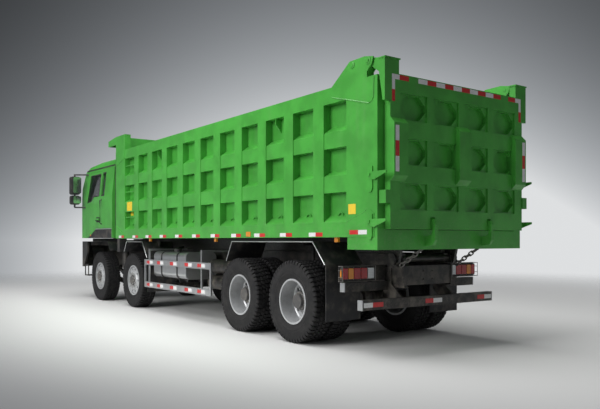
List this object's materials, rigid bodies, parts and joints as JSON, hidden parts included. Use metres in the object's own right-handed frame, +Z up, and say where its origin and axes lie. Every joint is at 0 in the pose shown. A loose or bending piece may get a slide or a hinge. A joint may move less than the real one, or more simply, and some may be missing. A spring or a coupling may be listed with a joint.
{
  "type": "dump truck",
  "caption": "Tipper truck with a high ribbed bed, a top-hung tailgate, a front telescopic hoist and a tilting cab over steered front axles and twin-wheeled rear axles.",
  "frame": {"origin": "on the ground under the middle of the truck's length and width", "axes": "+X forward along the truck, +Y to its left, +Z up"},
  "size_m": [10.712, 3.126, 3.49],
  "materials": {
    "tyre_rubber": "matte",
    "wheel_silver": "satin",
    "window_glass": "gloss",
    "bed_green": "gloss",
    "cab_green": "gloss",
    "cab_plastic": "matte",
    "dark_plastic": "matte",
    "bright_aluminium": "satin",
    "amber_plastic": "gloss",
    "red_plastic": "gloss",
    "clear_lamp": "gloss",
    "chain_steel": "satin",
    "ram_chrome": "polished",
    "cast_housing": "matte",
    "chassis_black": "satin"
  },
  "bodies": {
    "chassis": {"chassis_frame": "chassis_black", "front_axles": "chassis_black", "rear_axles": "chassis_black", "driveline": "cast_housing", "fuel_tank": "bright_aluminium", "chassis_boxes": "chassis_black", "side_guards": "bright_aluminium", "mudguards": "dark_plastic", "bumper": "chassis_black", "rear_bars": "chassis_black", "rear_lamps": "red_plastic", "headlamps": "clear_lamp", "intake_stack": "dark_plastic"},
    "cab": {"cab_shell": "cab_green", "cab_glass": "window_glass", "cab_interior": "cab_plastic", "cab_trim": "dark_plastic", "mirrors": "dark_plastic", "beacons": "amber_plastic"},
    "door_left": {"door_left": "cab_green", "door_glass_left": "window_glass"},
    "door_right": {"door_right": "cab_green", "door_glass_right": "window_glass"},
    "bed": {"bed_floor": "bed_green", "bed_side_left": "bed_green", "bed_side_right": "bed_green", "bed_headboard": "bed_green", "bed_rear_frame": "bed_green", "lift_chains": "chain_steel", "marker_lamps": "amber_plastic"},
    "tailgate": {"tailgate": "bed_green"},
    "hoist_base": {"hoist_base": "chassis_black"},
    "hoist_stage_1": {"hoist_stage_1": "ram_chrome"},
    "hoist_stage_2": {"hoist_stage_2": "ram_chrome"},
    "hoist_stage_3": {"hoist_stage_3": "ram_chrome"},
    "hoist_stage_4": {"hoist_stage_4": "ram_chrome"},
    "knuckle_1_left": {"knuckle_1_left": "chassis_black"},
    "wheel_1_left": {"tyre_1_left": "tyre_rubber", "rim_1_left": "wheel_silver"},
    "knuckle_1_right": {"knuckle_1_right": "chassis_black"},
    "wheel_1_right": {"tyre_1_right": "tyre_rubber", "rim_1_right": "wheel_silver"},
    "knuckle_2_left": {"knuckle_2_left": "chassis_black"},
    "wheel_2_left": {"tyre_2_left": "tyre_rubber", "rim_2_left": "wheel_silver"},
    "knuckle_2_right": {"knuckle_2_right": "chassis_black"},
    "wheel_2_right": {"tyre_2_right": "tyre_rubber", "rim_2_right": "wheel_silver"},
    "wheels_3_left": {"tyres_3_left": "tyre_rubber", "rims_3_left": "wheel_silver"},
    "wheels_3_right": {"tyres_3_right": "tyre_rubber", "rims_3_right": "wheel_silver"},
    "wheels_4_left": {"tyres_4_left": "tyre_rubber", "rims_4_left": "wheel_silver"},
    "wheels_4_right": {"tyres_4_right": "tyre_rubber", "rims_4_right": "wheel_silver"}
  },
  "joints": [
    {"name": "steer_1_left", "type": "hinge", "parent": "chassis", "child": "knuckle_1_left", "pos_m": [4.106, 0.882, 0.5425], "axis": [0, 0, 1], "range_deg": [-35, 35]},
    {"name": "spin_1_left", "type": "hinge", "parent": "knuckle_1_left", "child": "wheel_1_left", "pos_m": [4.106, 1.022, 0.5425], "axis": [0, 1, 0], "continuous": true},
    {"name": "steer_1_right", "type": "hinge", "parent": "chassis", "child": "knuckle_1_right", "pos_m": [4.106, -0.882, 0.5425], "axis": [0, 0, 1], "range_deg": [-35, 35]},
    {"name": "spin_1_right", "type": "hinge", "parent": "knuckle_1_right", "child": "wheel_1_right", "pos_m": [4.106, -1.022, 0.5425], "axis": [0, 1, 0], "continuous": true},
    {"name": "steer_2_left", "type": "hinge", "parent": "chassis", "child": "knuckle_2_left", "pos_m": [2.156, 0.882, 0.5425], "axis": [0, 0, 1], "range_deg": [-25, 25]},
    {"name": "spin_2_left", "type": "hinge", "parent": "knuckle_2_left", "child": "wheel_2_left", "pos_m": [2.156, 1.022, 0.5425], "axis": [0, 1, 0], "continuous": true},
    {"name": "steer_2_right", "type": "hinge", "parent": "chassis", "child": "knuckle_2_right", "pos_m": [2.156, -0.882, 0.5425], "axis": [0, 0, 1], "range_deg": [-25, 25]},
    {"name": "spin_2_right", "type": "hinge", "parent": "knuckle_2_right", "child": "wheel_2_right", "pos_m": [2.156, -1.022, 0.5425], "axis": [0, 1, 0], "continuous": true},
    {"name": "spin_3_left", "type": "hinge", "parent": "chassis", "child": "wheels_3_left", "pos_m": [-2.144, 0.922, 0.5425], "axis": [0, 1, 0], "continuous": true},
    {"name": "spin_3_right", "type": "hinge", "parent": "chassis", "child": "wheels_3_right", "pos_m": [-2.144, -0.922, 0.5425], "axis": [0, 1, 0], "continuous": true},
    {"name": "spin_4_left", "type": "hinge", "parent": "chassis", "child": "wheels_4_left", "pos_m": [-3.494, 0.922, 0.5425], "axis": [0, 1, 0], "continuous": true},
    {"name": "spin_4_right", "type": "hinge", "parent": "chassis", "child": "wheels_4_right", "pos_m": [-3.494, -0.922, 0.5425], "axis": [0, 1, 0], "continuous": true},
    {"name": "bed_tip", "type": "hinge", "parent": "chassis", "child": "bed", "pos_m": [-4.674, 0, 1.12], "axis": [0, -1, 0], "range_deg": [0, 45]},
    {"name": "gate_swing", "type": "hinge", "parent": "bed", "child": "tailgate", "pos_m": [-5.033, 0, 3.36], "axis": [0, 1, 0], "range_deg": [0, 70]},
    {"name": "cab_tilt", "type": "hinge", "parent": "chassis", "child": "cab", "pos_m": [5.234, 0, 1.25], "axis": [0, 1, 0], "range_deg": [0, 50]},
    {"name": "door_left_swing", "type": "hinge", "parent": "cab", "child": "door_left", "pos_m": [4.776, 1.245, 2.1], "axis": [0, 0, -1], "range_deg": [0, 70]},
    {"name": "door_right_swing", "type": "hinge", "parent": "cab", "child": "door_right", "pos_m": [4.776, -1.245, 2.1], "axis": [0, 0, 1], "range_deg": [0, 70]},
    {"name": "hoist_swing", "type": "hinge", "parent": "chassis", "child": "hoist_base", "pos_m": [2.942, 0, 1.15], "axis": [0, -1, 0], "range_deg": [0, 28.01]},
    {"name": "hoist_slide_1", "type": "slide", "parent": "hoist_base", "child": "hoist_stage_1", "axis": [0, 0, 1], "range_m": [0, 1.434]},
    {"name": "hoist_slide_2", "type": "slide", "parent": "hoist_stage_1", "child": "hoist_stage_2", "axis": [0, 0, 1], "range_m": [0, 1.434]},
    {"name": "hoist_slide_3", "type": "slide", "parent": "hoist_stage_2", "child": "hoist_stage_3", "axis": [0, 0, 1], "range_m": [0, 1.434]},
    {"name": "hoist_slide_4", "type": "slide", "parent": "hoist_stage_3", "child": "hoist_stage_4", "axis": [0, 0, 1], "range_m": [0, 1.434]}
  ],
  "couplings": [
    {"joint": "steer_1_right", "follows": "steer_1_left", "ratio": 1},
    {"joint": "steer_2_left", "follows": "steer_1_left", "ratio": 0.7},
    {"joint": "steer_2_right", "follows": "steer_1_left", "ratio": 0.7},
    {"joint": "hoist_swing", "follows": "bed_tip", "ratio": 0.61811},
    {"joint": "hoist_slide_1", "follows": "bed_tip", "m_per_rad": 1.8233},
    {"joint": "hoist_slide_2", "follows": "bed_tip", "m_per_rad": 1.8233},
    {"joint": "hoist_slide_3", "follows": "bed_tip", "m_per_rad": 1.8233},
    {"joint": "hoist_slide_4", "follows": "bed_tip", "m_per_rad": 1.8233}
  ]
}
